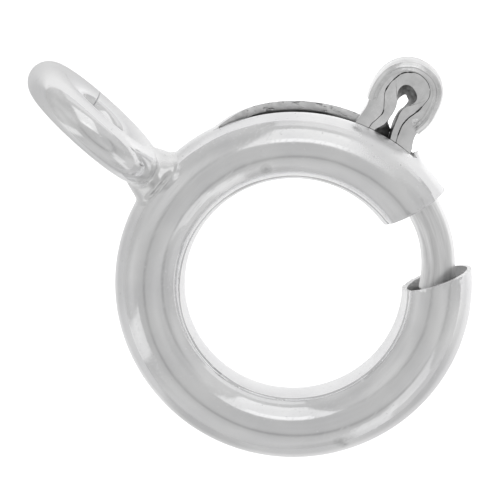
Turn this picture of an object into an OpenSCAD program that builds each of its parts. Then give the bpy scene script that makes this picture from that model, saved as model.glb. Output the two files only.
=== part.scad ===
// Spring ring clasp: a hollow round case with an opening, a sprung tongue that closes it,
// a folded trigger that draws the tongue back, and an end ring soldered to the case.
// The case is drawn flat about its own axis, with angles counted from the mouth's side towards
// the trigger, and is then laid down as it rests: on its end ring and on its far edge.

/* [Case] */
// Outer diameter of the round case
case_od = 7; // [6:0.1:10]
// Outer diameter of the case's tube
tube_d = 1.375; // [1.25:0.025:1.8]
// Wall of the tube
tube_wall = 0.165; // [0.1:0.005:0.2]
// Angle at which the mouth is cut, on the tube's centreline
mouth_angle = 2.2; // [-6:0.1:8]
// Slant of the mouth's cut, from square to the tube
mouth_slant = 14.5; // [0:0.5:20]
// Angle at which the upper end is cut, on the tube's centreline
upper_angle = 33.4; // [26:0.1:36]
// Slant of the upper end's cut, from square to the tube
upper_slant = -4.4; // [-15:0.1:15]

/* [Seam] */
// Angle of the rolled tube's seam, from the inner round towards the face
seam_angle = 35; // [20:1:70]
// Width of the seam's groove
seam_w = 0.03; // [0.02:0.005:0.08]
// Depth of the seam's groove
seam_depth = 0.03; // [0.02:0.005:0.08]

/* [Slot] */
// Width of the slot on the outer round
slot_w = 0.33; // [0.31:0.01:0.45]
// Play between the trigger's foot and the slot's near end, at rest
slot_play = 0.03; // [0.02:0.005:0.1]
// Play that is left at the slot's far end when the trigger is drawn back
slot_spare = 0.15; // [0.05:0.01:0.4]
// Height to which the lip on the back of the slot is bowed outward
lip_rise = 0.16; // [0.05:0.005:0.2]
// Angle at which that lip is highest
lip_angle = 91; // [85:1:95]
// Angle from there to each end of the bow
lip_half_span = 24; // [18:1:26]
// Depth below the case's middle plane at which the bow starts
lip_depth = 0.48; // [0.4:0.01:0.5]

/* [Tongue] */
// Diameter of the tongue's wire
tongue_d = 0.66; // [0.5:0.01:0.7]
// Diameter of its tip, past the bend
tip_d = 0.65; // [0.4:0.01:0.65]
// Play between the tongue and the outer side of the bore
tongue_play = 0.04; // [0.03:0.005:0.1]
// Angle at which the tongue's tip starts to bend inward
bend_angle = 37; // [30:1:42]
// Radius of that bend
bend_r = 2.3; // [1.9:0.05:2.6]
// Length of the tip that stands inside the mouth
tip_cover = 0.3; // [0.15:0.01:0.5]
// Length of the tongue behind the trigger's foot
tail_length = 0.35; // [0.2:0.01:0.6]
// Angle through which the tongue is drawn back
travel = 40; // [30:1:42]

/* [Trigger] */
// Angle of the trigger on the case
trigger_angle = 59.2; // [57:0.1:62]
// Lean of the trigger from square to the case
trigger_lean = 6; // [0:0.5:8]
// Height of the head's centre above the case
head_h = 0.92; // [0.87:0.01:1.3]
// Height of the waist between the legs and the head
waist_h = 0.45; // [0.35:0.01:0.55]
// Diameter of the eye in the head
eye_d = 0.34; // [0.2:0.01:0.5]
// Width of the gap between the legs, at the waist
eye_waist_w = 0.12; // [0.05:0.01:0.2]
// Width of the gap between the feet
eye_foot_w = 0.28; // [0.15:0.01:0.35]
// Thickness of the inner strip, round the head
inner_t = 0.25; // [0.15:0.01:0.3]
// Thickness of the inner strip, in the legs
inner_leg_t = 0.15; // [0.1:0.01:0.18]
// Thickness of the outer strip, round the head
outer_t = 0.27; // [0.2:0.01:0.35]
// Thickness of the outer strip, in the legs
outer_leg_t = 0.33; // [0.2:0.01:0.38]
// Gap between the two strips
fold_gap = 0.02; // [0.01:0.005:0.04]
// Play between the strips and the sides of the slot
leg_play = 0.03; // [0.02:0.005:0.06]
// Width of the cap round the outside of the head
cap_w = 0.5; // [0.4:0.01:0.8]
// Thickness of the cap
cap_t = 0.2; // [0.1:0.01:0.22]
// Bevel on the outer edges of the cap
cap_bevel = 0.12; // [0.05:0.01:0.14]
// Angle from the trigger's foot to the cap's end, on the tongue's side
cap_front = 41; // [40:1:60]
// Angle from the trigger's foot to the cap's end, on the spring's side
cap_back = 51; // [40:1:60]
// Depth to which the feet stand in the tongue
foot_depth = 0.25; // [0.15:0.01:0.35]
// Clearance round the feet in the tongue
foot_fit = 0.02; // [0.01:0.005:0.03]

/* [Spring] */
// Diameter of the spring's wire
spring_wire_d = 0.1; // [0.06:0.01:0.14]
// Clearance between the spring and the bore
spring_play = 0.05; // [0.03:0.01:0.1]
// Number of turns
spring_turns = 28; // [10:1:34]
// Gap between the spring and what it presses on
spring_gap = 0.04; // [0.02:0.01:0.1]
// Angle of the stop inside the case
stop_angle = 250; // [200:1:255]
// Length of the stop
stop_length = 0.2; // [0.1:0.01:0.4]

/* [End ring] */
// Outer diameter of the end ring
ring_od = 3.2; // [2.8:0.05:4]
// Diameter of its wire
ring_wire_d = 0.78; // [0.5:0.01:0.9]
// Angle at which the end ring is soldered on
ring_angle = 141.5; // [135:0.5:150]
// Angle by which it is soldered on askew, in the case's plane
ring_turn = -3.4; // [-6:0.1:6]
// Lean of the end ring from the case's axis
ring_lean = 2.9; // [-6:0.1:6]
// Depth to which the ring's wire is sunk into the case's outer round
ring_sink = 0.03; // [0:0.005:0.1]
// Diameter of the solder on the case
solder_d = 1.24; // [1:0.01:1.3]
// Diameter of the solder on the ring's wire
solder_neck_d = 0.84; // [0.6:0.01:0.9]
// Width of the cut that closes the ring
ring_cut_w = 0.03; // [0.02:0.005:0.06]
// Depth of that cut
ring_cut_depth = 0.03; // [0.02:0.005:0.06]
// Angle of that cut, from the ring's far end towards the face
ring_cut_angle = -82; // [-120:1:120]

/* [Hidden] */
$fn = 96;
silver = "#d9dadb";
tube_r = tube_d / 2;
bore_r = tube_r - tube_wall;
case_r = case_od / 2 - tube_r;
case_out = case_od / 2;
bore_out = case_r + bore_r;

// Lengths by which cuts run past what they cut, and angles by which bent pieces run on into each other
past = tube_d;
tip_root = 3;
lip_root = 2;

// The trigger's outlines, from the eye outward
leg_w = slot_w - 2 * leg_play;
fold_d = eye_d + 2 * inner_t;
fold_waist_w = eye_waist_w + 2 * inner_leg_t;
fold_foot_w = eye_foot_w + 2 * inner_leg_t;
head_d = fold_d + 2 * fold_gap + 2 * outer_t;
waist_w = fold_waist_w + 2 * fold_gap + 2 * outer_leg_t;
foot_w = fold_foot_w + 2 * fold_gap + 2 * outer_leg_t;
foot_half_angle = asin(foot_w / 2 / bore_out);
foot_bottom = tube_wall + tongue_play + foot_depth;

// The tongue follows the outer side of the bore, and its tip bends inward round its own centre
tongue_r = bore_out - tongue_play - tongue_d / 2;
tip_angle = mouth_angle - arc_angle(tip_cover, tongue_r);
tail_angle = trigger_angle + foot_half_angle + arc_angle(tail_length, tongue_r);
bend_off = tongue_r - bend_r;
bend_centre = bend_off * direction(bend_angle);
tip_reach = bend_off * cos(tip_angle - bend_angle)
    + sqrt(bend_r * bend_r - pow(bend_off * sin(tip_angle - bend_angle), 2));
tip_point = tip_reach * direction(tip_angle);
tip_start = atan2(tip_point[1] - bend_centre[1], tip_point[0] - bend_centre[0]);

// The slot holds the trigger's feet over their whole travel
slot_start = trigger_angle - foot_half_angle - arc_angle(slot_play, bore_out);
slot_end = trigger_angle + foot_half_angle + travel + arc_angle(slot_spare, bore_out);

// The lip is bowed round a centre of its own, and meets the case's outer round at both ends
slot_out = case_r + sqrt(tube_r * tube_r - slot_w * slot_w / 4);
lip_top = slot_out + lip_rise;
lip_base = slot_out * cos(lip_half_span);
lip_chord = slot_out * sin(lip_half_span);
lip_r = (pow(lip_top - lip_base, 2) + lip_chord * lip_chord) / (2 * (lip_top - lip_base));
lip_off = lip_top - lip_r;
lip_sweep = atan2(lip_chord, lip_base - lip_off) + lip_root;
lip_slope = (lip_top - case_r - sqrt(tube_r * tube_r - lip_depth * lip_depth)) / (lip_depth - slot_w / 2);

// The end ring stands across the case's plane, a little askew
ring_r = (ring_od - ring_wire_d) / 2;
ring_centre = case_out * direction(ring_angle) + (ring_od / 2 - ring_sink) * direction(ring_angle + ring_turn);
ring_reach = norm(ring_centre);

// The spring lies between the tongue's tail and the stop
coil_r = bore_r - spring_play - spring_wire_d / 2;
spring_end_pad = arc_angle(spring_gap + spring_wire_d, case_r);
spring_start = tail_angle + spring_end_pad;
spring_end = stop_angle - spring_end_pad;
coil_steps = 10;
wire_sides = 5;

// At rest the end ring and the far edge of the case touch the surface
rest_sin = (ring_r * cos(ring_lean) + ring_wire_d / 2 - tube_r) / (ring_reach + case_r);
rest_tilt = asin(rest_sin);
rest_h = case_r * rest_sin + tube_r;
rest_turn = 180 - atan2(ring_centre[1], ring_centre[0]);
left = -ring_reach * cos(rest_tilt) - ring_od / 2;
right = case_r * cos(rest_tilt) + tube_r;
head_y = case_out * sin(trigger_angle + rest_turn) + head_h * sin(trigger_angle + trigger_lean + rest_turn);
back = head_y + head_d / 2;
front = -case_out;

function direction(angle) = [cos(angle), sin(angle)];
function arc_angle(length, radius) = length / radius * 180 / PI;

// A point on a slanted cut through the tube, a reach outward from its centreline
function cut_point(angle, slant, reach) = case_r * direction(angle) + reach * direction(angle + slant);

// The coil's middle, the way out from it and the way along it, at a share of its length
function coil_angle(share) = spring_start + (spring_end - spring_start) * share;
function coil_turn(share) = 360 * spring_turns * share;
function coil_out(share) = let (a = coil_angle(share), t = coil_turn(share))
    [cos(t) * cos(a), cos(t) * sin(a), sin(t)];
function coil_point(share) = let (a = coil_angle(share))
    [case_r * cos(a), case_r * sin(a), 0] + coil_r * coil_out(share);
function unit(v) = v / norm(v);
function coil_side(share) = let (step = 0.05 / spring_turns)
    unit(cross(coil_point(share + step) - coil_point(share - step), coil_out(share)));

module lay_down() {
    translate([-(left + right) / 2, -(front + back) / 2, rest_h])
        rotate([0, rest_tilt, 0])
            rotate([0, 0, rest_turn])
                children();
}

// A round bar bent about the case's axis
module bent_bar(radius, bar_r, from_angle, to_angle) {
    rotate([0, 0, from_angle])
        rotate_extrude(angle = to_angle - from_angle)
            translate([radius, 0]) circle(r = bar_r);
}

module opening_cut() {
    translate([0, 0, -past])
        linear_extrude(2 * past)
            polygon([
                cut_point(mouth_angle, mouth_slant, -past),
                cut_point(mouth_angle, mouth_slant, past),
                cut_point(upper_angle, upper_slant, past),
                cut_point(upper_angle, upper_slant, -past)
            ]);
}

module slot_cut() {
    rotate([0, 0, slot_start])
        rotate_extrude(angle = slot_end - slot_start)
            translate([case_r + bore_r / 2, -slot_w / 2])
                square([past, slot_w]);
}

module seam_cut() {
    rotate_extrude()
        translate([case_r, 0])
            rotate(180 - seam_angle)
                translate([tube_r - seam_depth, -seam_w / 2])
                    square([past, seam_w]);
}

// A band under the slot, bent about the bow's own centre, that slopes in towards the case's back
module lip_band(near, far, top, bottom) {
    rotate([0, 0, lip_angle])
        translate([lip_off, 0, 0])
            rotate([0, 0, -lip_sweep])
                rotate_extrude(angle = 2 * lip_sweep)
                    polygon([
                        [near + lip_slope * (top + slot_w / 2), top],
                        [far + lip_slope * (top + slot_w / 2), top],
                        [far + lip_slope * (bottom + slot_w / 2), bottom],
                        [near + lip_slope * (bottom + slot_w / 2), bottom]
                    ]);
}

module ring_cut() {
    rotate([0, -ring_cut_angle, 0])
        translate([ring_r, 0, -ring_cut_w / 2])
            difference() {
                cylinder(r = ring_wire_d, h = ring_cut_w);
                translate([0, 0, -ring_cut_w]) cylinder(r = ring_wire_d / 2 - ring_cut_depth, h = 3 * ring_cut_w);
            }
}

module end_ring() {
    translate(concat(ring_centre, 0))
        rotate([0, 0, ring_angle + ring_turn])
            rotate([ring_lean, 0, 0])
                difference() {
                    rotate([90, 0, 0])
                        rotate_extrude()
                            translate([ring_r, 0]) circle(d = ring_wire_d);
                    ring_cut();
                }
}

// The solder runs from inside the case's wall to the middle of the ring's wire
module solder() {
    rotate([0, 0, ring_angle])
        translate([bore_out, 0, 0])
            rotate([0, 90, 0])
                cylinder(d1 = solder_d, d2 = solder_neck_d, h = tube_wall - ring_sink + ring_wire_d / 2);
}

module case() {
    color(silver)
        lay_down() {
            difference() {
                union() {
                    bent_bar(case_r, tube_r, 0, 360);
                    end_ring();
                    solder();
                    lip_band(lip_r - 2 * tube_wall, lip_r, -slot_w / 4, -lip_depth);
                }
                bent_bar(case_r, bore_r, 0, 360);
                opening_cut();
                slot_cut();
                seam_cut();
                lip_band(lip_r - 3 * tube_wall, lip_r - tube_wall, 0, tube_wall / 4 - lip_depth);
            }
            bent_bar(case_r, bore_r + tube_wall / 2, stop_angle, stop_angle + arc_angle(stop_length, case_r));
        }
}

// Puts an upright outline on the case at the trigger's place, with its middle plane on the case's
module at_trigger() {
    translate(case_out * concat(direction(trigger_angle), 0))
        rotate([0, 0, trigger_angle + trigger_lean - 90])
            children();
}

module tongue() {
    color(silver)
        lay_down()
            difference() {
                union() {
                    bent_bar(tongue_r, tongue_d / 2, bend_angle, tail_angle);
                    translate(concat(bend_centre, 0))
                        bent_bar(bend_r, tip_d / 2, tip_start, bend_angle + tip_root);
                }
                at_trigger()
                    translate([-foot_w / 2 - foot_fit, -foot_bottom - foot_fit, -leg_w / 2 - foot_fit])
                        cube([foot_w + 2 * foot_fit, past, leg_w + 2 * foot_fit]);
            }
}

// An upright loop: a round head on two legs that draw in to the waist and spread to the feet
module loop_block(d, loop_waist_w, loop_foot_w, width) {
    translate([0, head_h, -width / 2]) cylinder(d = d, h = width);
    translate([0, 0, -width / 2])
        linear_extrude(width)
            polygon([
                [-loop_foot_w / 2, -foot_bottom],
                [-loop_foot_w / 2, 0],
                [-loop_waist_w / 2, waist_h],
                [-loop_waist_w / 2, head_h],
                [loop_waist_w / 2, head_h],
                [loop_waist_w / 2, waist_h],
                [loop_foot_w / 2, 0],
                [loop_foot_w / 2, -foot_bottom]
            ]);
}

module head_cap() {
    translate([0, head_h, 0])
        rotate([0, 0, cap_front - 90])
            rotate_extrude(angle = 360 - cap_front - cap_back)
                polygon([
                    [head_d / 2 - cap_t, -cap_w / 2],
                    [head_d / 2 - cap_bevel, -cap_w / 2],
                    [head_d / 2, -cap_w / 2 + cap_bevel],
                    [head_d / 2, cap_w / 2 - cap_bevel],
                    [head_d / 2 - cap_bevel, cap_w / 2],
                    [head_d / 2 - cap_t, cap_w / 2]
                ]);
}

module trigger_outer() {
    color(silver)
        lay_down()
            at_trigger() {
                difference() {
                    loop_block(head_d - cap_t, waist_w, foot_w, leg_w);
                    loop_block(
                        fold_d + 2 * fold_gap,
                        fold_waist_w + 2 * fold_gap,
                        fold_foot_w + 2 * fold_gap,
                        2 * leg_w
                    );
                }
                head_cap();
            }
}

module trigger_inner() {
    color(silver)
        lay_down()
            at_trigger()
                difference() {
                    loop_block(fold_d, fold_waist_w, fold_foot_w, leg_w);
                    loop_block(eye_d, eye_waist_w, eye_foot_w, 2 * leg_w);
                }
}

module spring() {
    rings = spring_turns * coil_steps;
    points = [
        for (i = [0:rings])
            let (share = i / rings, out = coil_out(share), side = coil_side(share))
                for (k = [0:wire_sides - 1])
                    let (a = 360 * k / wire_sides)
                        coil_point(share) + spring_wire_d / 2 * (cos(a) * out + sin(a) * side)
    ];
    walls = [
        for (i = [0:rings - 1])
            for (k = [0:wire_sides - 1])
                let (next = (k + 1) % wire_sides, low = i * wire_sides, high = low + wire_sides)
                    [low + k, high + k, high + next, low + next]
    ];
    ends = [
        [for (k = [0:wire_sides - 1]) k],
        [for (k = [0:wire_sides - 1]) rings * wire_sides + wire_sides - 1 - k]
    ];
    color("#b9bbbd")
        lay_down()
            polyhedron(points, concat(walls, ends));
}

case();
tongue();
trigger_outer();
trigger_inner();
spring();
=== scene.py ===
import math
from contextlib import contextmanager
import bpy
from mathutils import Matrix, Vector, noise


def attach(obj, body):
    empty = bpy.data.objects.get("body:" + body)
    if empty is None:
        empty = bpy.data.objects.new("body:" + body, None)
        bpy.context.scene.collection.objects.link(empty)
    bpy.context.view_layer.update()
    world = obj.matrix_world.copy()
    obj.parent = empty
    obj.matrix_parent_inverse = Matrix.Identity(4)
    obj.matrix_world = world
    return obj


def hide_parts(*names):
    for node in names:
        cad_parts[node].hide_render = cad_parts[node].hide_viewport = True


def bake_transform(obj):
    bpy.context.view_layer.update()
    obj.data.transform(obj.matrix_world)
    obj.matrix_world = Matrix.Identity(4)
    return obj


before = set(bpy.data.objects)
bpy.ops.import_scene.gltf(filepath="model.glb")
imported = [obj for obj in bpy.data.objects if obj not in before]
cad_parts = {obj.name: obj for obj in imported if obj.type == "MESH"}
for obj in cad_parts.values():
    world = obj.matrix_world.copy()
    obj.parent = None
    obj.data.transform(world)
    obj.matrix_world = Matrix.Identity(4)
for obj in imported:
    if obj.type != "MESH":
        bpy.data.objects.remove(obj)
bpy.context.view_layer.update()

# All pieces are modelled in millimetres about the case's own axis, with angles counted from the
# mouth's side towards the trigger, and are then laid down as the clasp rests.
restPose = {"tilt": 6.637897, "turn": 39.552697, "place": (1.576486, -0.779456, 1.012609)}
mm = 0.001
restMatrix = (
    Matrix.Translation(Vector(restPose["place"]) * mm)
    @ Matrix.Rotation(math.radians(restPose["tilt"]), 4, "Y")
    @ Matrix.Rotation(math.radians(restPose["turn"]), 4, "Z")
)


def heading(angle, reach=1.0, height=0.0):
    turn = math.radians(angle)
    return Vector((reach * math.cos(turn), reach * math.sin(turn), height))


def smoothStep(value, low, high):
    share = min(max((value - low) / (high - low), 0.0), 1.0)
    return share * share * (3 - 2 * share)


# Modelling helpers

def makeActive(piece):
    bpy.ops.object.select_all(action="DESELECT")
    piece.select_set(True)
    bpy.context.view_layer.objects.active = piece


def startPiece(name, primitive, **settings):
    bpy.ops.object.select_all(action="DESELECT")
    primitive(**settings)
    piece = bpy.context.object
    piece.name = piece.data.name = name
    bpy.ops.object.transform_apply(location=True, rotation=True, scale=True)
    return piece


@contextmanager
def editing(piece, kind="VERT", rule=lambda spot: True):
    makeActive(piece)
    mesh = piece.data
    for group in (mesh.vertices, mesh.edges, mesh.polygons):
        group.foreach_set("select", [False] * len(group))
    if kind == "VERT":
        for point in mesh.vertices:
            point.select = bool(rule(point.co))
    elif kind == "EDGE":
        for edge in mesh.edges:
            edge.select = all(rule(mesh.vertices[end].co) for end in edge.vertices)
    else:
        for face in mesh.polygons:
            face.select = bool(rule(face.center))
    bpy.context.tool_settings.mesh_select_mode = (kind == "VERT", kind == "EDGE", kind == "FACE")
    bpy.ops.object.mode_set(mode="EDIT")
    yield
    bpy.ops.object.mode_set(mode="OBJECT")


def nudge(piece, rule):  # moves single points, for bows, dents and torn edges
    for point in piece.data.vertices:
        point.co = rule(point.co.copy())


def applied(piece, kind, **settings):
    made = piece.modifiers.new(kind.title(), kind)
    for key, value in settings.items():
        setattr(made, key, value)
    makeActive(piece)
    bpy.ops.object.modifier_apply(modifier=made.name)


def joined(piece, *others):
    makeActive(piece)
    for other in others:
        other.select_set(True)
    bpy.ops.object.join()
    return piece


def spin(angle, steps, centre=(0, 0, 0)):  # with no window, the spin turns the other way
    bpy.ops.mesh.spin(steps=steps, angle=-math.radians(angle), center=centre, axis=(0, 0, 1))


def dress(piece, *names):  # before any modifier that hands out finishes
    for name in names:
        piece.data.materials.append(metal[name])


def faceOut(piece, merge=0.0005):
    with editing(piece):
        bpy.ops.mesh.remove_doubles(threshold=merge)
        bpy.ops.mesh.normals_make_consistent(inside=False)


def layDown(piece, body, nodes, smooth=35, matrix=None, flat=False):
    makeActive(piece)
    piece.matrix_world = restMatrix @ Matrix.Scale(mm, 4) @ (matrix or Matrix())
    bpy.ops.object.transform_apply(location=True, rotation=True, scale=True)
    bpy.ops.object.shade_smooth_by_angle(angle=math.radians(smooth))
    if flat:  # broad faces stay flat between their rounded edges
        applied(piece, "WEIGHTED_NORMAL", keep_sharp=True)
    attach(piece, body)
    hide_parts(*nodes)
    print("made", piece.name, len(piece.data.polygons), "faces")


# Materials

def linear(code, alpha=1.0):
    parts = [int(code[i:i + 2], 16) / 255 for i in (1, 3, 5)]
    return tuple(c / 12.92 if c < 0.04045 else ((c + 0.055) / 1.055) ** 2.4 for c in parts) + (alpha,)


def addNode(tree, kind, sockets, **settings):  # a node with its settings, and its values or links
    made = tree.nodes.new(kind)
    for key, value in settings.items():
        setattr(made, key, value)
    for key, value in sockets.items():
        if isinstance(value, bpy.types.NodeSocket):
            tree.links.new(value, made.inputs[key])
        else:
            made.inputs[key].default_value = value
    return made


def calc(tree, operation, *values):  # one step of arithmetic on numbers
    return addNode(tree, "ShaderNodeMath", dict(enumerate(values)), operation=operation).outputs["Value"]


def vectorCalc(tree, operation, *values):  # one step on places or directions
    made = addNode(tree, "ShaderNodeVectorMath", dict(enumerate(values)), operation=operation)
    return made.outputs["Vector"]


def gauge(tree, operation, *values):  # a length, a distance, or how far two directions agree
    made = addNode(tree, "ShaderNodeVectorMath", dict(enumerate(values)), operation=operation)
    return made.outputs["Value"]


def ramp(tree, value, start, end, first, last, **settings):
    made = addNode(tree, "ShaderNodeMapRange", {
        "Value": value, "From Min": start, "From Max": end, "To Min": first, "To Max": last}, **settings)
    return made.outputs["Result"]


# Lengths are in millimetres: wave is the slow unevenness left by the tumbling barrel, grain the fine one,
# streak the spacing of drawing marks along a wire, pit and speck the size of holes in the surface
metals = {
    # sterling silver, drawn and tumbled bright: a clear mirror with slow waves, hairlines and a few specks
    "polishedSilver": {"colour": "#f6f6f6", "shade": "#ececed", "rough": (0.07, 0.16), "wave": 0.9,
                       "waveDepth": 0.010, "grain": 0.045, "grainDepth": 0.0005, "speck": 0.013,
                       "hair": 0.0007},
    # the same silver as folded strip: rolled, less polished, with marks of the folding
    "foldedSilver": {"colour": "#f6f6f6", "shade": "#e4e4e4", "rough": (0.10, 0.20), "wave": 0.26,
                     "waveDepth": 0.007, "grain": 0.05, "grainDepth": 0.0012, "hair": 0.0012, "scar": 0.13},
    # hard drawn silver wire, left as it came from the die: satin, streaked along its length
    "drawnSilver": {"colour": "#fafafa", "shade": "#dedede", "rough": (0.34, 0.46), "wave": 0.5,
                    "waveDepth": 0.006, "grain": 0.04, "grainDepth": 0.001, "streak": 0.085,
                    "streakDepth": 0.004},
    # silver where it was sheared: dull, torn and pitted
    "shearedSilver": {"colour": "#f6f6f6", "shade": "#d6d6d6", "rough": (0.30, 0.50), "wave": 0.16,
                      "waveDepth": 0.008, "grain": 0.04, "grainDepth": 0.002, "pit": 0.06},
    # the sawn ends, worn bright in the barrel: uneven and flaked
    "wornSilver": {"colour": "#fbfbfb", "shade": "#e6e6e6", "rough": (0.14, 0.30), "wave": 0.15,
                   "waveDepth": 0.014, "grain": 0.05, "grainDepth": 0.003, "pit": 0.05},
    # the inside of the rolled tube, never polished: grey and matt
    "rawSilver": {"colour": "#cfcfcf", "shade": "#b9b9b9", "rough": (0.5, 0.7), "wave": 0.5,
                  "waveDepth": 0.01, "grain": 0.04, "grainDepth": 0.004},
    # painted shade: silver darkened on the walls of the crack, the eye and the slot, where shadow falls
    "paintedShadeSilver": {"colour": "#b4b4b4", "shade": "#727272", "rough": (0.40, 0.6), "wave": 0.12,
                        "waveDepth": 0.008, "grain": 0.04, "grainDepth": 0.004},
    # silver solder, flowed and left as it set: smooth and lumpy
    "silverSolder": {"colour": "#f4f4f4", "shade": "#e2e2e2", "rough": (0.16, 0.30), "wave": 0.42,
                     "waveDepth": 0.012, "grain": 0.08, "grainDepth": 0.0008, "speck": 0.016},
    # spring steel wire, drawn: darker, with a fine pull along it
    "springSteel": {"colour": "#c4c4c4", "shade": "#a8a8a8", "rough": (0.25, 0.38), "wave": 0.6,
                    "waveDepth": 0.004, "grain": 0.03, "grainDepth": 0.002},
}
hairlines = ((0.7, 0.022), (-0.45, 0.03))  # how each set of hairlines is turned, and how wide a line is


# A place seen from a bend's middle: its distance, its height, and some of the way along the wire
def roundTheWire(tree, spot, centre, pull=0.12):
    back = restMatrix.inverted()
    place = addNode(tree, "ShaderNodeMapping", {
        "Vector": spot, "Location": back.translation - centre * mm,
        "Rotation": back.to_euler()}).outputs["Vector"]
    parts = addNode(tree, "ShaderNodeSeparateXYZ", {0: place}).outputs
    reach = gauge(tree, "LENGTH", vectorCalc(tree, "MULTIPLY", place, (1, 1, 0)))
    angle = calc(tree, "ARCTAN2", parts["Y"], parts["X"])
    along = calc(tree, "MULTIPLY", angle, pull * mm)
    return addNode(tree, "ShaderNodeCombineXYZ", {"X": reach, "Y": parts["Z"], "Z": along}).outputs["Vector"]


def makeMetal(name):
    look = metals[name]
    material = bpy.data.materials.new(name)
    material.use_nodes = True
    tree = material.node_tree
    tree.nodes.clear()
    spot = addNode(tree, "ShaderNodeTexCoord", {}).outputs["Object"]
    low, high = look["rough"]

    def cloud(size, detail=2.0, vector=spot, roughness=0.5):
        return addNode(tree, "ShaderNodeTexNoise", {
            "Vector": vector, "Scale": 1 / (size * mm), "Detail": detail,
            "Roughness": roughness}).outputs["Fac"]

    def dent(height, depth, normal):
        return addNode(tree, "ShaderNodeBump", {
            "Height": height, "Strength": 1.0, "Distance": depth * mm, "Normal": normal}).outputs["Normal"]

    def mixed(share, first, second):
        return addNode(tree, "ShaderNodeMix", {0: share, 6: first, 7: second}, data_type="RGBA").outputs[2]

    waves = cloud(look["wave"])
    bright = ramp(tree, waves, 0.3, 0.7, 0.0, 1.0)
    shape = addNode(tree, "ShaderNodeBump", {
        "Height": waves, "Strength": 1.0, "Distance": look["waveDepth"] * mm}).outputs["Normal"]
    shape = dent(cloud(look["grain"], 4.0, roughness=0.65), look["grainDepth"], shape)
    if "streak" in look:
        way = roundTheWire(tree, spot, tongueBend["centre"])
        streaks = cloud(look["streak"], 3.0, way, 0.6)
        shape = dent(streaks, look["streakDepth"], shape)
        bright = ramp(tree, streaks, 0.35, 0.62, 0.0, 1.0)
    if "hair" in look:  # each line is far longer than it is wide
        for turn, wide in hairlines:
            skew = addNode(tree, "ShaderNodeMapping", {
                "Vector": spot, "Rotation": (0.2, 0.1, turn), "Scale": (1.0, 0.03, 1.0)}).outputs["Vector"]
            hair = ramp(tree, cloud(wide, 1.0, skew), 0.66, 0.72, 0.0, 1.0)
            shape = dent(hair, look["hair"], shape)
    if "speck" in look:
        cell = look["speck"] * 12  # how far apart the specks are
        spread = addNode(tree, "ShaderNodeTexVoronoi", {
            "Vector": spot, "Scale": 1 / (cell * mm)}).outputs["Distance"]
        hole = ramp(tree, spread, 0.05, 0.09, 0.0, 1.0)
        shape = dent(hole, look["speck"] * 0.5, shape)
        bright = calc(tree, "MULTIPLY", bright, hole)
    if "pit" in look:
        way = roundTheWire(tree, spot, Vector((0, 0, 0)), 1.3)
        torn = ramp(tree, cloud(look["pit"], 2.0, way), 0.60, 0.68, 1.0, 0.0)
        shape = dent(torn, look["pit"] * 0.25, shape)
        bright = calc(tree, "MULTIPLY", bright, torn)
    if "scar" in look:
        away = gauge(tree, "DISTANCE", spot, onTrigger(triggerPlace["scar"]))
        edge = calc(tree, "ADD", away, calc(tree, "MULTIPLY", cloud(0.08), 0.12 * mm))
        inside = ramp(tree, edge, look["scar"] * 0.8 * mm, look["scar"] * 1.25 * mm, 1.0, 0.0)
        shape = dent(calc(tree, "MULTIPLY", inside, cloud(0.07, 3.0)), 0.05, shape)
    rough = ramp(tree, waves, 0.35, 0.65, low, high)
    colour = mixed(bright, linear(look["shade"]), linear(look["colour"]))
    for mark in marks.get(name, ()):
        uneven = calc(tree, "MULTIPLY", cloud(0.06, 3.0), (mark["far"] - mark["near"]) * mm)
        edge = calc(tree, "ADD", uneven, gauge(tree, "DISTANCE", spot, mark["spot"]))
        inside = ramp(tree, edge, mark["near"] * mm, mark["far"] * 1.5 * mm, 1.0, 0.0)
        rough = calc(tree, "MULTIPLY_ADD", inside, mark["dull"], rough)
        colour = mixed(calc(tree, "MULTIPLY", inside, mark["dark"]), colour, linear(smudgeColour))
    surface = addNode(tree, "ShaderNodeBsdfPrincipled", {
        "Base Color": colour, "Metallic": 1.0, "Roughness": rough, "Normal": shape})
    addNode(tree, "ShaderNodeOutputMaterial", {"Surface": surface.outputs["BSDF"]})
    return material


caseSizes = {
    "round": 7.0, "tube": 1.375, "wall": 0.165, "sides": 72, "steps": 232, "from": 24.0, "to": 372.0,
    # the open ends: where each is cut, its slant, the angles where it is looked for, and how it is worn
    "mouthAngle": 2.2, "mouthSlant": 14.5, "mouthZone": (330, 14),
    "upperAngle": 33.4, "upperSlant": -4.4, "upperZone": (18, 70),
    "endWall": 0.085, "endReach": 0.2, "ragged": ((0.018, 9), (0.012, 23)), "wornTo": 39.6, "wornFrom": 180,
    # the slot, its wall darkened with painted shade as far as darkTo, and the thin point in which it ends
    "slotWidth": 0.33, "slotFrom": 47.6, "slotTo": 114.8, "wallPlay": 0.02, "wallSlope": 0.242,
    "darkTo": 68.5, "taperFrom": 95.0, "taperMost": 0.93, "taperFade": 6, "taperReach": -70,
    "taperSpread": 50,
    # the bowed lip and the burr
    "lipRise": 0.15, "lipAngle": 90.2, "lipSpan": 26.0, "lipSpanNear": 36.0, "lipDepth": 0.5, "lipFrom": -60,
    "burrRise": 0.10, "burrReach": 3.6, "burrHalf": (6, 22),
    # the seam, with one side a little proud, and its gaps: place, half length and depth of each
    "seamAngle": 145.0, "seamWidth": 0.018, "seamDepth": 0.035, "seamNear": 0.6, "seamStep": 0.012,
    "seamStepWide": 3, "cracks": ((180.0, 4.0, 0.09), (229.0, 4.5, 0.10)),
    "rimRound": 0.04, "rimSharp": 52,
}

# What the finishes need of the tongue and the trigger: the middle of the tongue's bend, and the
# trigger's own frame
tongueBend = {"centre": heading(37.0, 0.665)}
triggerPlace = {"angle": 59.2, "lean": 6.0, "foot": 1.28, "scar": (0.44, 0.47, 0.19)}
triggerMatrix = (Matrix.Translation(heading(triggerPlace["angle"], 3.5))
                 @ Matrix.Rotation(math.radians(triggerPlace["angle"] + triggerPlace["lean"] - 90), 4, "Z"))


def onTrigger(spot):
    return restMatrix @ ((triggerMatrix @ Vector(spot)) * mm)


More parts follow.
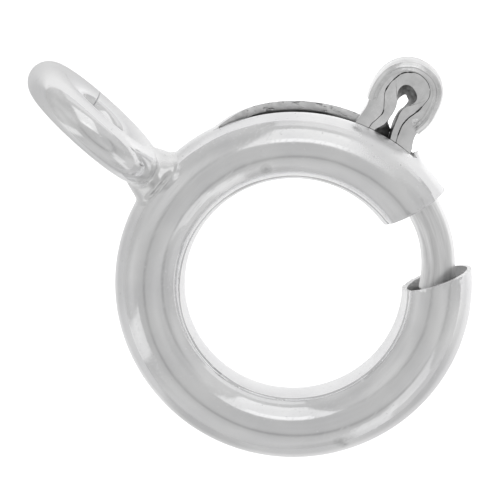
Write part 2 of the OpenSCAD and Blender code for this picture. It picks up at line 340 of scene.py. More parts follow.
def onCase(angle, tubeAngle):
    turn = math.radians(tubeAngle)
    reach = caseSizes["tube"] / 2
    return restMatrix @ (heading(angle, caseSizes["round"] / 2 - reach + reach * math.cos(turn),
                                 reach * math.sin(turn)) * mm)


# Worn and smudged places: how far each reaches, how much duller and how much darker it is
smudgeColour = "#6e6e6e"
marks = {"polishedSilver": (
    {"spot": onTrigger((0.0, -0.05, 0.22)), "near": 0.40, "far": 0.74, "dull": 0.31, "dark": 0.0},
    {"spot": onCase(102.7, 118), "near": 0.03, "far": 0.13, "dull": 0.10, "dark": 0.45},
    {"spot": onCase(286.5, 56), "near": 0.02, "far": 0.15, "dull": 0.10, "dark": 0.40},
    {"spot": onCase(287.5, 44), "near": 0.02, "far": 0.12, "dull": 0.10, "dark": 0.35},
)}

metal = {name: makeMetal(name) for name in metals}
print("mixed", len(metal), "finishes")


# Case: a tube rolled from sheet, bent round, cut for the mouth and slotted for the trigger

tubeRadius = caseSizes["tube"] / 2
caseRadius = caseSizes["round"] / 2 - tubeRadius


# A point's angle on the case, its angle on the tube and its reach from the tube's middle
def roundTube(spot):
    across = math.hypot(spot.x, spot.y) - caseRadius
    return (math.degrees(math.atan2(spot.y, spot.x)) % 360, math.degrees(math.atan2(spot.z, across)),
            math.hypot(across, spot.z))


def tubePoint(angle, tubeAngle, reach):
    turn = math.radians(tubeAngle)
    return heading(angle, caseRadius + reach * math.cos(turn), reach * math.sin(turn))


def bentBar(name, middle, barRadius, fromAngle, toAngle, sides=48, step=1.5, centre=(0, 0, 0)):
    bar = startPiece(name, bpy.ops.mesh.primitive_circle_add, vertices=sides, radius=barRadius,
                     location=(middle, 0, 0), rotation=(math.pi / 2, 0, 0), fill_type="NGON")
    nudge(bar, lambda spot: Matrix.Rotation(math.radians(fromAngle), 3, "Z") @ spot)
    with editing(bar):
        spin(toAngle - fromAngle, max(2, round(abs(toAngle - fromAngle) / step)))
    nudge(bar, lambda spot: spot + Vector(centre))
    faceOut(bar)
    return bar


def endCut(end):  # the saw's cut at the mouth or the upper end: a place on it, and the way that it faces
    angle = caseSizes[end + "Angle"]
    outward = 90 if end == "mouth" else -90
    return heading(angle, caseRadius), heading(angle + caseSizes[end + "Slant"] + outward)


def atEnd(end, angle):
    low, high = caseSizes[end + "Zone"]
    return low < angle < high if low < high else angle > low or angle < high


def onInside(reach):
    return reach < tubeRadius - caseSizes["wall"] / 2


def thinEnds(shell):  # the saw and the barrel wore both ends of the tube thin, and left a ragged edge
    s = caseSizes
    cuts = {end: endCut(end) for end in ("mouth", "upper")}

    def thin(spot):
        angle, tubeAngle, reach = roundTube(spot)
        for end, (place, facing) in cuts.items():
            deep = (place - Vector((spot.x, spot.y, 0))).dot(facing)
            if not atEnd(end, angle) or deep > s["endReach"]:
                continue
            near = 1 - smoothStep(deep, 0, s["endReach"])
            if onInside(reach):
                return tubePoint(angle, tubeAngle, reach + (s["wall"] - s["endWall"]) * near)
            ragged = sum(height * noise.noise(spot * often) for height, often in s["ragged"])
            return tubePoint(angle, tubeAngle, reach + ragged * near)
        return spot

    nudge(shell, thin)


def taperShare(angle):  # how far the saw's point has closed the slot
    s = caseSizes
    return s["taperMost"] * smoothStep(angle, s["taperFrom"], s["slotTo"])


def squareSlot(shell, slotSide):  # the slot's walls are sawn square, clear of the trigger
    s = caseSizes

    def square(spot):
        angle, tubeAngle, reach = roundTube(spot)
        if not s["slotFrom"] - 0.1 < angle < s["slotTo"] - 0.3 or abs(spot.z) > s["slotWidth"] / 2:
            return spot
        if angle < s["slotFrom"] + 0.3 and abs(tubeAngle) < slotSide - 2:  # the slot's near end
            return spot
        share = taperShare(angle)
        if slotSide * share < tubeAngle < slotSide + 5:  # the wall on the photo's side
            return Vector((spot.x, spot.y, s["slotWidth"] / 2))
        edge = tubeRadius * math.sin(math.radians(slotSide * (2 * share - 1))) + s["wallPlay"]
        if not s["lipFrom"] < tubeAngle < slotSide or spot.z < edge:
            return spot
        return Vector((spot.x, spot.y, edge)) - heading(angle, s["wallSlope"] * (spot.z - edge))

    nudge(shell, square)


def makeCaseShell():
    s = caseSizes
    slotSide = math.degrees(math.asin(s["slotWidth"] / 2 / tubeRadius))
    shell = startPiece("caseShell", bpy.ops.mesh.primitive_circle_add, vertices=s["sides"], radius=tubeRadius,
                       location=(caseRadius, 0, 0), rotation=(math.pi / 2, 0, 0))
    dress(shell, "polishedSilver", "rawSilver", "shearedSilver", "paintedShadeSilver", "wornSilver")

    row = 3 * 360 / s["sides"]  # the row of points nearest to the slot's side

    def toSlotSide(spot):
        tubeAngle = roundTube(spot)[1]
        if abs(abs(tubeAngle) - row) < 2:
            turn = math.radians(math.copysign(slotSide, tubeAngle))
            return Vector((caseRadius + tubeRadius * math.cos(turn), 0, tubeRadius * math.sin(turn)))
        return spot

    nudge(shell, toSlotSide)
    nudge(shell, lambda spot: Matrix.Rotation(math.radians(s["from"]), 3, "Z") @ spot)
    with editing(shell):
        spin(s["to"] - s["from"], s["steps"])
    faceOut(shell)

    for end in ("mouth", "upper"):
        place, facing = endCut(end)
        with editing(shell, "FACE", lambda spot: atEnd(end, roundTube(spot)[0])):
            bpy.ops.mesh.bisect(plane_co=place, plane_no=facing, clear_outer=True)

    # slot
    for slotEnd in (s["slotFrom"], s["slotTo"]):
        with editing(shell, "FACE", lambda spot: abs(roundTube(spot)[0] - slotEnd) < 2
                     and abs(roundTube(spot)[1]) < slotSide):
            bpy.ops.mesh.bisect(plane_co=heading(slotEnd), plane_no=heading(slotEnd + 90))
    with editing(shell, "FACE", lambda spot: s["slotFrom"] < roundTube(spot)[0] < s["slotTo"]
                 and abs(roundTube(spot)[1]) < slotSide - 0.1):
        bpy.ops.mesh.delete(type="FACE")

    def taper(spot):  # the saw ran out in a thin point
        angle, tubeAngle, reach = roundTube(spot)
        fadeTo = s["slotTo"] + s["taperFade"]
        if not s["taperFrom"] < angle < fadeTo or not s["taperReach"] < tubeAngle < slotSide - 0.1:
            return spot
        share = taperShare(angle) * (1 - smoothStep(angle, s["slotTo"] + 0.2, fadeTo))
        if tubeAngle > -slotSide - 0.1:
            return tubePoint(angle, slotSide - (slotSide - tubeAngle) * (1 - share), reach)
        shift = 2 * slotSide * share * (1 - smoothStep(-slotSide - tubeAngle, 0, s["taperSpread"]))
        return tubePoint(angle, tubeAngle + shift, reach)

    nudge(shell, taper)

    # seam, pressed in from outside when the wall is made
    with editing(shell, "EDGE", lambda spot: abs(roundTube(spot)[1] - s["seamAngle"]) < s["seamNear"]):
        bpy.ops.mesh.bevel(offset=s["seamWidth"], segments=2, affect="EDGES")

    def seamDent(spot):
        angle, tubeAngle, reach = roundTube(spot)
        beside = tubeAngle - s["seamAngle"]
        if onInside(reach):
            return spot
        if abs(beside) < s["seamNear"]:
            deep = s["seamDepth"] * (0.75 + 0.5 * noise.noise(spot * 2.2))
            for middle, span, depth in s["cracks"]:
                deep += depth * (1 - smoothStep(abs(angle - middle), span * 0.5, span))
            return tubePoint(angle, tubeAngle, reach - deep)
        if 0 < beside < s["seamStepWide"]:
            return tubePoint(angle, tubeAngle, reach + s["seamStep"] * (1 + noise.noise(spot * 1.5)))
        return spot

    def bow(spot):  # the lip on the far side of the slot is bowed outward
        angle, tubeAngle, reach = roundTube(spot)
        along = abs(angle - s["lipAngle"]) / (s["lipSpan"] if angle > s["lipAngle"] else s["lipSpanNear"])
        if along >= 1 or not s["lipFrom"] < tubeAngle < slotSide - 0.4:
            return spot
        rise = s["lipRise"] * (1 - along ** 3)
        rise *= 1 - smoothStep(-spot.z, s["slotWidth"] / 2, s["lipDepth"])
        return spot + heading(angle, rise)

    def burr(spot):  # the saw heaped up a burr where the slot begins
        angle, tubeAngle, reach = roundTube(spot)
        back = s["slotFrom"] - angle
        if not -0.1 <= back < s["burrReach"] or abs(tubeAngle) > s["burrHalf"][1] or onInside(reach):
            return spot
        share = 1 - back / s["burrReach"]
        return spot + heading(angle, s["burrRise"] * share * (1 - smoothStep(abs(tubeAngle), *s["burrHalf"])))

    nudge(shell, bow)
    applied(shell, "SOLIDIFY", thickness=s["wall"], offset=-1, use_even_offset=True,
            use_quality_normals=True, material_offset=1, material_offset_rim=2)
    squareSlot(shell, slotSide)
    nudge(shell, seamDent)
    nudge(shell, burr)
    thinEnds(shell)
    applied(shell, "BEVEL", limit_method="ANGLE", angle_limit=math.radians(s["rimSharp"]),
            width=s["rimRound"], segments=3)
    for face in shell.data.polygons:  # the slot's wall gets painted shade as far as darkTo, and the ends are worn
        angle = roundTube(face.center)[0]
        if face.material_index == 2 and s["slotFrom"] + 0.5 < angle < s["darkTo"]:
            face.material_index = 3
        elif face.material_index == 2 and not s["wornTo"] < angle < s["wornFrom"]:
            face.material_index = 4 if face.normal.z < 0.2 else 0
    layDown(shell, "case", ["case"])


makeCaseShell()


# End ring: round wire, bent shut and soldered to the case a little askew

ringSizes = {"round": 3.2, "wire": 0.78, "angle": 141.5, "askew": -3.4, "lean": 2.9, "sink": 0.03,
             "cutAngle": -82.5, "cutWidth": 0.014, "cutDepth": 0.05, "segments": 144, "sides": 48}
solderSizes = {"onCase": 1.24, "onRing": 0.84, "patch": 12.0, "voxel": 0.035, "smooth": 34, "sunk": 0.8,
               "boreIn": 0.6, "ringCut": 0.55}
ringRadius = (ringSizes["round"] - ringSizes["wire"]) / 2
ringCentre = (heading(ringSizes["angle"], caseSizes["round"] / 2)
              + heading(ringSizes["angle"] + ringSizes["askew"], ringSizes["round"] / 2 - ringSizes["sink"]))
ringMatrix = (Matrix.Translation(ringCentre)
              @ Matrix.Rotation(math.radians(ringSizes["angle"] + ringSizes["askew"]), 4, "Z")
              @ Matrix.Rotation(math.radians(ringSizes["lean"]), 4, "X"))


def makeRing(name):
    s = ringSizes
    ring = startPiece(name, bpy.ops.mesh.primitive_torus_add, major_radius=ringRadius,
                      minor_radius=s["wire"] / 2, major_segments=s["segments"], minor_segments=s["sides"],
                      rotation=(math.pi / 2, 0, 0))

    def ringAngle(spot):
        return math.degrees(math.atan2(spot.z, spot.x))

    with editing(ring, "EDGE", lambda spot: abs(ringAngle(spot) - s["cutAngle"]) < 0.3):
        bpy.ops.mesh.bevel(offset=s["cutWidth"], segments=2, affect="EDGES")

    def cut(spot):  # where the wire's two ends meet
        if abs(ringAngle(spot) - s["cutAngle"]) > 0.15:
            return spot
        turn = math.radians(s["cutAngle"])
        middle = Vector((math.cos(turn), 0, math.sin(turn))) * ringRadius
        return spot + (middle - spot).normalized() * s["cutDepth"]

    nudge(ring, cut)
    faceOut(ring)
    return ring


def makeEndRing():
    ring = makeRing("endRing")
    dress(ring, "polishedSilver")
    layDown(ring, "case", ["case"], matrix=ringMatrix)


def makeSolder():
    s = solderSizes
    sunk = caseSizes["wall"] * s["sunk"]
    depth = sunk + ringSizes["wire"] / 2
    neck = startPiece("solder", bpy.ops.mesh.primitive_cone_add, vertices=64, radius1=s["onCase"] / 2,
                      radius2=s["onRing"] / 2, depth=depth, rotation=(0, math.pi / 2, 0),
                      location=(caseSizes["round"] / 2 - sunk + depth / 2, 0, 0))
    nudge(neck, lambda spot: Matrix.Rotation(math.radians(ringSizes["angle"]), 3, "Z") @ spot)
    patch = bentBar("patch", caseRadius, tubeRadius - 0.002, ringSizes["angle"] - s["patch"],
                    ringSizes["angle"] + s["patch"])
    arc = makeRing("arc")
    with editing(arc, "FACE", lambda spot: spot.x > -ringRadius * s["ringCut"]):
        bpy.ops.mesh.delete(type="FACE")
    with editing(arc):
        bpy.ops.mesh.fill_holes(sides=0)
    nudge(arc, lambda spot: ringMatrix @ spot)
    joined(neck, patch, arc)
    applied(neck, "REMESH", mode="VOXEL", voxel_size=s["voxel"], adaptivity=0)
    applied(neck, "SMOOTH", factor=0.5, iterations=s["smooth"])
    bore = bentBar("bore", caseRadius, tubeRadius - caseSizes["wall"] * s["boreIn"],
                   ringSizes["angle"] - 2 * s["patch"], ringSizes["angle"] + 2 * s["patch"], step=1)
    applied(neck, "BOOLEAN", operation="DIFFERENCE", object=bore, solver="EXACT")
    bpy.data.objects.remove(bore)
    dress(neck, "silverSolder")
    layDown(neck, "case", ["case"], smooth=60)


makeEndRing()
makeSolder()


# Tongue: hard wire bent to the bore, its tip turned in to the mouth

tongueSizes = {"wire": 0.66, "play": 0.04, "bendAngle": 37.0, "bendRadius": 2.3, "cover": 0.3,
               "tail": 0.35, "endRound": 0.07, "endSharp": 60, "tailSteps": 32, "bendSteps": 44}
boreOut = caseSizes["round"] / 2 - caseSizes["wall"]
tongueRadius = boreOut - tongueSizes["play"] - tongueSizes["wire"] / 2


def makeTongue():
    s = tongueSizes
    tipAngle = caseSizes["mouthAngle"] - math.degrees(s["cover"] / tongueRadius)
    footHalf = math.degrees(math.asin(triggerPlace["foot"] / 2 / boreOut))
    tailAngle = triggerPlace["angle"] + footHalf + math.degrees(s["tail"] / tongueRadius)
    bendOff = tongueRadius - s["bendRadius"]
    bendCentre = heading(s["bendAngle"], bendOff)
    turn = math.radians(tipAngle - s["bendAngle"])
    reach = bendOff * math.cos(turn) + math.sqrt(s["bendRadius"] ** 2 - (bendOff * math.sin(turn)) ** 2)
    tipSpot = heading(tipAngle, reach) - bendCentre
    tipStart = math.degrees(math.atan2(tipSpot.y, tipSpot.x))
    tongue = startPiece("tongueWire", bpy.ops.mesh.primitive_circle_add, vertices=64, radius=s["wire"] / 2,
                        location=(tongueRadius, 0, 0), rotation=(math.pi / 2, 0, 0))
    nudge(tongue, lambda spot: Matrix.Rotation(math.radians(s["bendAngle"]), 3, "Z") @ spot)
    with editing(tongue):
        spin(tailAngle - s["bendAngle"], s["tailSteps"])
        bpy.ops.mesh.edge_face_add()

    def atBend(spot):
        return abs(math.degrees(math.atan2(spot.y, spot.x)) - s["bendAngle"]) < 0.05

    with editing(tongue, "VERT", atBend):
        spin(tipStart - s["bendAngle"], s["bendSteps"], bendCentre)
        bpy.ops.mesh.edge_face_add()
    faceOut(tongue)
    applied(tongue, "BEVEL", limit_method="ANGLE", angle_limit=math.radians(s["endSharp"]),
            width=s["endRound"], segments=4)
    dress(tongue, "drawnSilver", "paintedShadeSilver")
    layDown(tongue, "tongue", ["tongue"])


makeTongue()


# Trigger: a strip of silver folded round a second one, with a cap round the head

triggerSizes = {"width": 0.27, "edge": 0.016, "edgeSharp": 55, "eyeRound": 0.06, "stations": 110,
                "crack": 0.002, "capEdge": 0.009, "capSharp": 25, "capStations": 64}
# The cap's section: how far in from its outline, and how high
capSection = ((0.0, 0.135), (0.03, 0.205), (0.12, 0.25), (0.145, 0.18), (0.203, 0.208), (0.215, 0.12))
# Outlines in the trigger's own frame, from the left foot round the head to the right foot
outerLine = ((-0.64, -0.42), (-0.64, -0.2), (-0.635, 0.0), (-0.615, 0.16), (-0.585, 0.36), (-0.60, 0.56),
             (-0.62, 0.78), (-0.61, 0.98), (-0.51, 1.24), (-0.30, 1.44), (-0.02, 1.53), (0.31, 1.47),
             (0.53, 1.31), (0.64, 1.09), (0.665, 0.85), (0.64, 0.6), (0.57, 0.4), (0.54, 0.24),
             (0.555, 0.08), (0.59, -0.04), (0.6, -0.2), (0.6, -0.42))
capLine = ((-0.655, 0.53), (-0.672, 0.66), (-0.675, 0.80), (-0.655, 1.0), (-0.585, 1.22), (-0.46, 1.40),
           (-0.30, 1.525), (-0.08, 1.61), (0.14, 1.61), (0.36, 1.55), (0.54, 1.43), (0.67, 1.24),
           (0.725, 1.03), (0.73, 0.8), (0.715, 0.6), (0.655, 0.42), (0.59, 0.28))
crackLine = ((-0.31, -0.42), (-0.33, -0.15), (-0.345, 0.06), (-0.275, 0.25), (-0.235, 0.40), (-0.295, 0.58),
             (-0.365, 0.76), (-0.365, 0.92), (-0.315, 1.09), (-0.20, 1.28), (0.05, 1.38), (0.285, 1.31),
             (0.41, 1.17), (0.45, 1.03), (0.42, 0.87), (0.345, 0.66), (0.26, 0.50), (0.21, 0.32),
             (0.215, 0.13), (0.24, -0.04), (0.26, -0.2), (0.26, -0.42))
eyeLine = ((-0.17, -0.42), (-0.20, -0.2), (-0.235, 0.0), (-0.16, 0.12), (-0.105, 0.22), (-0.055, 0.42),
           (-0.045, 0.57), (-0.075, 0.72), (-0.135, 0.85), (-0.145, 0.96), (-0.10, 1.06), (0.01, 1.10),
           (0.12, 1.065), (0.215, 0.99), (0.255, 0.88), (0.20, 0.77), (0.11, 0.66), (0.07, 0.53),
           (0.072, 0.40), (0.08, 0.26), (0.09, 0.12), (0.11, -0.02), (0.12, -0.2), (0.12, -0.42))
# the eye draws in towards the back, where the strip was folded hard round
eyeBackLine = ((0.09, -0.42), (0.09, -0.2), (0.076, -0.02), (0.054, 0.11), (-0.06, 0.15), (-0.085, 0.20),
               (-0.055, 0.31), (-0.022, 0.48), (-0.04, 0.61), (-0.048, 0.70), (-0.015, 0.785),
               (0.04, 0.845), (0.09, 0.81), (0.14, 0.755), (0.115, 0.63), (0.055, 0.50), (0.037, 0.30),
               (0.06, 0.10), (0.09, -0.04), (0.11, -0.2), (0.11, -0.42))
# where the two strips stand apart: the place on the crack, how far it runs and half its width
crackOpen = ((-0.24, 0.40, 0.07, 0.009), (-0.365, 0.88, 0.08, 0.011), (-0.29, 1.14, 0.11, 0.010),
             (-0.20, 1.28, 0.09, 0.010), (-0.08, 1.35, 0.06, 0.012), (0.37, 0.73, 0.10, 0.018),
             (0.30, 0.58, 0.12, 0.010), (0.225, 0.40, 0.14, 0.011), (0.212, 0.20, 0.14, 0.011))


def through(stations, count):  # evenly spaced points on a smooth curve through the stations
    ends = [stations[0]] + list(stations) + [stations[-1]]
    fine = []
    for a, b, c, d in zip(ends, ends[1:], ends[2:], ends[3:]):
        a, b, c, d = (Vector(p) for p in (a, b, c, d))
        for k in range(16):
            t = k / 16
            fine.append(0.5 * (2 * b + (c - a) * t + (2 * a - 5 * b + 4 * c - d) * t * t
                               + (3 * b - a - 3 * c + d) * t ** 3))
    fine.append(Vector(stations[-1]))
    runs = [0.0]
    for p, q in zip(fine, fine[1:]):
        runs.append(runs[-1] + (q - p).length)
    points = []
    k = 0
    for i in range(count):
        want = runs[-1] * i / (count - 1)
        while k < len(runs) - 2 and runs[k + 1] < want:
            k += 1
        points.append(fine[k].lerp(fine[k + 1], (want - runs[k]) / max(runs[k + 1] - runs[k], 1e-9)))
    return points


def offset(points, distance):  # moves a line sideways, to the right of its own heading
    moved = []
    for i, spot in enumerate(points):
        along = (points[min(i + 1, len(points) - 1)] - points[max(i - 1, 0)]).normalized()
        far = distance(spot) if callable(distance) else distance
        moved.append(spot + Vector((along.y, -along.x)) * far)
    return moved


def crackWidth(spot):
    wide = triggerSizes["crack"]
    for x, y, run, half in crackOpen:
        wide = max(wide, half * (1 - smoothStep((spot - Vector((x, y))).length, run * 0.5, run)))
    return wide


def strip(name, outer, inner, width, back=None):  # the inner line may differ at the back
    count = len(outer)
    back = back or inner
    piece = startPiece(name, bpy.ops.mesh.primitive_grid_add, x_subdivisions=count - 1,
                       y_subdivisions=1, size=2)
    dress(piece, "foldedSilver", "paintedShadeSilver")

    def onLines(spot):
        i = min(max(round((spot.x + 1) / 2 * (count - 1)), 0), count - 1)
        x, y = outer[i] if spot.y > 0 else back[i]
        return Vector((x, y, -width / 2))

    nudge(piece, onLines)
    with editing(piece):
        bpy.ops.mesh.extrude_region_move(TRANSFORM_OT_translate={"value": (0, 0, width)})
    front = {(round(b.x, 4), round(b.y, 4)): a for a, b in zip(inner, back)}

    def frontLine(spot):
        line = front.get((round(spot.x, 4), round(spot.y, 4))) if spot.z > 0 else None
        return Vector((*line, spot.z)) if line else spot

    nudge(piece, frontLine)
    faceOut(piece)
    return piece


def paintWalls(piece, line, index, reach=0.03):  # the walls along a line get another finish, used here for painted shade
    for face in piece.data.polygons:
        flat = Vector(face.center[:2])
        if abs(face.normal.z) < 0.9 and min((flat - spot).length for spot in line) < reach:
            face.material_index = index


def makeCap():
    s = triggerSizes
    section = [(inward, -height) for inward, height in reversed(capSection)] + list(capSection)
    count = s["capStations"]
    lines = [offset(through(capLine, count), inward) for inward, height in section]
    rows = len(section)
    cap = startPiece("triggerCap", bpy.ops.mesh.primitive_grid_add, x_subdivisions=count - 1,
                     y_subdivisions=rows, size=2)
    dress(cap, "foldedSilver")

    def onSection(spot):
        i = min(max(round((spot.x + 1) / 2 * (count - 1)), 0), count - 1)
        k = round((spot.y + 1) / 2 * rows) % rows
        return Vector((*lines[k][i], section[k][1]))

    nudge(cap, onSection)
    faceOut(cap)
    with editing(cap):
        bpy.ops.mesh.fill_holes(sides=0)
        bpy.ops.mesh.normals_make_consistent(inside=False)
    applied(cap, "BEVEL", limit_method="ANGLE", angle_limit=math.radians(s["capSharp"]),
            width=s["capEdge"], segments=2)
    return cap


def makeTrigger():
    s = triggerSizes
    count = s["stations"]
    crack = through(crackLine, count)
    eye = through(eyeLine, count)
    outer = strip("triggerOuter", through(outerLine, count), offset(crack, lambda spot: -crackWidth(spot)),
                  s["width"])
    inner = strip("triggerInner", offset(crack, crackWidth), eye, s["width"], through(eyeBackLine, count))
    # painted shade on the walls of the crack, and on the walls of the eye
    for piece in (outer, inner):
        paintWalls(piece, crack, 1)
    paintWalls(inner, eye, 1, 0.22)
    rim = inner.vertex_groups.new(name="eye")
    rim.add([point.index for point in inner.data.vertices if point.co.z > 0
             and min((point.co.xy - spot).length for spot in eye) < 0.001], 1.0, "REPLACE")
    applied(inner, "BEVEL", limit_method="VGROUP", vertex_group="eye", width=s["eyeRound"], segments=4)
    for piece in (outer, inner):
        applied(piece, "BEVEL", limit_method="ANGLE", angle_limit=math.radians(s["edgeSharp"]),
                width=s["edge"], segments=3)
    joined(outer, makeCap())
    layDown(outer, "tongue", ["trigger_outer"], matrix=triggerMatrix, flat=True)
    layDown(inner, "tongue", ["trigger_inner"], matrix=triggerMatrix, flat=True)


makeTrigger()


# Spring: coiled steel wire between the tongue's tail and the stop in the case

springSizes = {"wire": 0.1, "coil": 0.4225, "turns": 28, "from": 79.18, "to": 247.15, "perTurn": 20,
               "stopFrom": 250.0, "stopLength": 0.2, "stopIn": 0.5}


def makeSpring():
    s = springSizes
    bpy.ops.object.select_all(action="DESELECT")
    count = s["turns"] * s["perTurn"]
    bpy.ops.curve.primitive_nurbs_path_add()
    wire = bpy.context.object
    wire.name = "springCoil"
    line = wire.data
    line.splines.clear()
    path = line.splines.new("POLY")
    path.points.add(count)
    for i in range(count + 1):
        share = i / count
        spot = tubePoint(s["from"] + (s["to"] - s["from"]) * share, 360 * s["turns"] * share, s["coil"])
        path.points[i].co = (*spot, 1)
    line.dimensions = "3D"
    line.bevel_depth = s["wire"] / 2
    line.bevel_resolution = 1
    line.use_fill_caps = True
    makeActive(wire)
    bpy.ops.object.convert(target="MESH")
    wire = bpy.context.object
    faceOut(wire)
    dress(wire, "springSteel")
    layDown(wire, "case", ["spring"], smooth=60)
    wire.parent = None
    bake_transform(wire)
    stop = bentBar("springStop", caseRadius, tubeRadius - caseSizes["wall"] * s["stopIn"], s["stopFrom"],
                   s["stopFrom"] + math.degrees(s["stopLength"] / caseRadius))
    dress(stop, "rawSilver")
    layDown(stop, "case", ["case"])


makeSpring()


# Camera and light

pictureSizes = {"mmPerPixel": 0.01959, "centre": (293.6, 283.1), "lean": 13.6, "image": 500, "lens": 1000.0}
turned = restMatrix.to_3x3()
lean = math.radians(pictureSizes["lean"])
pictureRight = turned @ Vector((1, 0, 0))
pictureUp = turned @ Vector((0, math.cos(lean), -math.sin(lean)))
toCamera = turned @ Vector((0, math.sin(lean), math.cos(lean)))


def pictureFrame(spot):
    matrix = Matrix((pictureRight, pictureUp, toCamera)).transposed().to_4x4()
    matrix.translation = spot
    return matrix


def makeCamera():
    s = pictureSizes
    half = s["image"] / 2
    target = (Vector(restPose["place"]) + pictureRight * (half - s["centre"][0]) * s["mmPerPixel"]
              + pictureUp * (s["centre"][1] - half) * s["mmPerPixel"]) * mm
    bpy.ops.object.camera_add()
    camera = bpy.context.object
    camera.name = "camera"
    camera.data.sensor_width = 36
    camera.data.lens = s["lens"]
    distance = s["lens"] / 36 * s["image"] * s["mmPerPixel"] * mm
    camera.matrix_world = pictureFrame(target + toCamera * distance)
    camera.data.clip_start, camera.data.clip_end = 0.02, 5
    bpy.context.scene.camera = camera


def towards(azimuth, elevation):  # a direction from the clasp, by its place in the picture
    around, above = math.radians(azimuth), math.radians(elevation)
    level = math.cos(above)
    return turned @ Vector((level * math.cos(around), level * math.sin(around), math.sin(above)))


# The paper glows white where it is seen, and the glow that the silver mirrors of it fades away from the clasp
# The floor is no lamp, yet it glows: painted light, brighter towards one side and in patches, with a painted
# shadow of the case
floorSizes = {"side": 2.0, "paper": "#f6f6f6", "near": 3.6, "far": 6.2, "nearGlow": 0.33, "farGlow": 0.09,
              "brightSide": 56, "slope": 0.052, "most": 0.24, "least": -0.06, "seen": 0.62,
              "hole": 2.1, "lowSide": 240, "lowGlow": 0.11, "highGlow": -0.04}
# Painted light and shade on the paper: a direction in the picture, half its width and by how much more or
# less it glows
wedges = (
    {"azimuth": 212, "half": 17, "glow": 0.08},
    {"azimuth": 241, "half": 14, "glow": -0.09},
    {"azimuth": 322, "half": 26, "glow": -0.06},
)


def makeFloor():
    s = floorSizes
    floor = startPiece("floor", bpy.ops.mesh.primitive_plane_add, size=s["side"])
    paper = bpy.data.materials.new("paleFloor")
    paper.use_nodes = True
    tree = paper.node_tree
    tree.nodes.clear()
    spot = addNode(tree, "ShaderNodeTexCoord", {}).outputs["Object"]
    centre = Vector((restPose["place"][0] * mm, restPose["place"][1] * mm, 0))
    away = gauge(tree, "DISTANCE", spot, centre)
    fade = ramp(tree, away, s["near"] * mm, s["far"] * mm, s["nearGlow"], s["farGlow"],
                interpolation_type="SMOOTHSTEP")
    seen = addNode(tree, "ShaderNodeLightPath", {}).outputs["Is Camera Ray"]
    # painted light: the paper glows more towards the bright side
    window = towards(s["brightSide"], 0)
    middle = centre.dot(window)
    tilt = ramp(tree, gauge(tree, "DOT_PRODUCT", spot, window), middle + s["least"] / s["slope"] * mm,
                middle + s["most"] / s["slope"] * mm, s["least"], s["most"])
    out = vectorCalc(tree, "NORMALIZE", vectorCalc(tree, "SUBTRACT", spot, centre))
    for wedge in wedges:
        facing = gauge(tree, "DOT_PRODUCT", out, towards(wedge["azimuth"], 0))
        patch = ramp(tree, facing, math.cos(math.radians(wedge["half"] * 1.3)),
                     math.cos(math.radians(wedge["half"] * 0.5)), 0.0, wedge["glow"],
                     interpolation_type="SMOOTHSTEP")
        tilt = calc(tree, "ADD", tilt, patch)
    # painted shadow of the case: within its hole the paper glows less on the side away from lowSide
    low = towards(s["lowSide"], 0)
    middle = centre.dot(low)
    reach = s["hole"] * mm
    lower = ramp(tree, gauge(tree, "DOT_PRODUCT", spot, low), middle - reach, middle + reach, s["highGlow"],
                 s["lowGlow"])
    within = ramp(tree, away, reach, reach * 1.3, 1.0, 0.0)
    tilt = addNode(tree, "ShaderNodeMix", {0: within, 2: tilt, 3: lower}).outputs[0]
    glow = calc(tree, "MULTIPLY_ADD", seen, s["seen"], calc(tree, "ADD", fade, tilt))
    surface = addNode(tree, "ShaderNodeBsdfPrincipled", {
        "Base Color": linear(s["paper"]), "Roughness": 0.9, "Specular IOR Level": 0.0,
        "Emission Color": linear("#ffffff"), "Emission Strength": glow})
    addNode(tree, "ShaderNodeOutputMaterial", {"Surface": surface.outputs["BSDF"]})
    floor.data.materials.append(paper)


# Soft panels round the clasp, as azimuth and elevation in the picture, their size in degrees and their
# strength, and how far off they all stand
panelDistance = 0.12
panels = (
    {"azimuth": 78, "elevation": 50, "wide": 56, "high": 44, "light": 0.33},
    {"azimuth": 80, "elevation": 65, "wide": 44, "high": 9, "light": 0.20},
    {"azimuth": 64, "elevation": 6, "wide": 66, "high": 22, "light": 0.20},
    {"azimuth": 212, "elevation": 16, "wide": 14, "high": 56, "light": 0.27},
    {"azimuth": 307, "elevation": 38, "wide": 18, "high": 26, "light": 0.20},
    {"azimuth": 293, "elevation": 14, "wide": 12, "high": 56, "light": 0.20},
)
# Darker parts of the tent: a direction in the picture, from and to how far round it, and by how much
shades = (
    {"azimuth": 281, "elevation": 12, "inner": 4, "outer": 20, "ring": 0, "dim": 0.12},
    {"azimuth": 10, "elevation": 79, "inner": 1.5, "outer": 6, "ring": 34, "dim": 0.11},
    {"azimuth": 245, "elevation": 50, "inner": 5, "outer": 45, "ring": 0, "dim": 0.04},
)
# The tent's cloth is a little uneven; its bright side, from and to so far towards it, has no darker part
tentSizes = {"cloth": 1.6, "low": 0.545, "high": 0.655, "brightSide": 80, "from": 0.15, "to": 0.45}


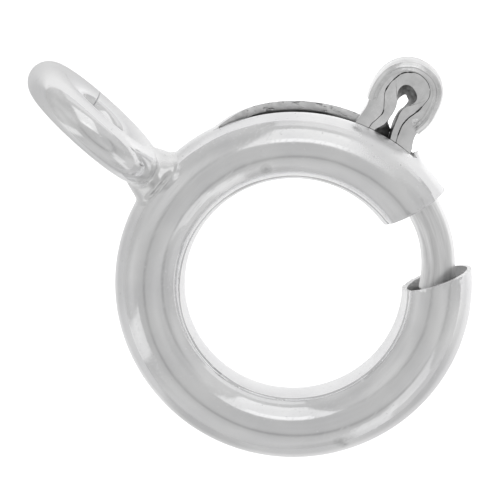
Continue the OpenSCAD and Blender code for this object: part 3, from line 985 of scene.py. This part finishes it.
def makeLights():
    s = tentSizes
    world = bpy.data.worlds.new("studio")
    bpy.context.scene.world = world
    world.use_nodes = True
    tree = world.node_tree
    tree.nodes.clear()
    way = addNode(tree, "ShaderNodeTexCoord", {}).outputs["Generated"]
    cloth = addNode(tree, "ShaderNodeTexNoise", {"Vector": way, "Scale": s["cloth"], "Detail": 1.0})
    shine = ramp(tree, cloth.outputs["Fac"], 0.35, 0.65, s["low"], s["high"])
    brightness = gauge(tree, "DOT_PRODUCT", way, towards(s["brightSide"], 0))
    away = ramp(tree, brightness, s["from"], s["to"], 1.0, 0.0)
    for shade in shades:
        facing = gauge(tree, "DOT_PRODUCT", way, towards(shade["azimuth"], shade["elevation"]))
        off = calc(tree, "SUBTRACT", calc(tree, "ARCCOSINE", facing), math.radians(shade["ring"]))
        dim = ramp(tree, calc(tree, "ABSOLUTE", off), math.radians(shade["inner"]),
                   math.radians(shade["outer"]), -shade["dim"], 0.0, interpolation_type="SMOOTHSTEP")
        shine = calc(tree, "MULTIPLY_ADD", dim, away, shine)
    glow = addNode(tree, "ShaderNodeBackground", {"Color": shine, "Strength": 1.0})
    addNode(tree, "ShaderNodeOutputWorld", {"Surface": glow.outputs["Background"]})
    for panel in panels:
        above = math.radians(panel["elevation"])
        out = towards(panel["azimuth"], panel["elevation"])
        bpy.ops.object.light_add(type="AREA")
        lamp = bpy.context.object
        lamp.name = "softPanel"
        lamp.data.shape = "RECTANGLE"
        lamp.data.size = 2 * panelDistance * math.tan(math.radians(panel["wide"] / 2)) * math.cos(above)
        lamp.data.size_y = 2 * panelDistance * math.tan(math.radians(panel["high"] / 2))
        lamp.data.energy = panel["light"] * math.pi * lamp.data.size * lamp.data.size_y
        side = (turned @ Vector((0, 0, 1))).cross(out).normalized()
        matrix = Matrix((side, out.cross(side), out)).transposed().to_4x4()
        matrix.translation = restMatrix.translation + out * panelDistance
        lamp.matrix_world = matrix
    print("lit by", len(panels), "soft panels")


makeCamera()
makeFloor()
makeLights()
bpy.context.scene.view_settings.view_transform = "Standard"
print("scene ready")
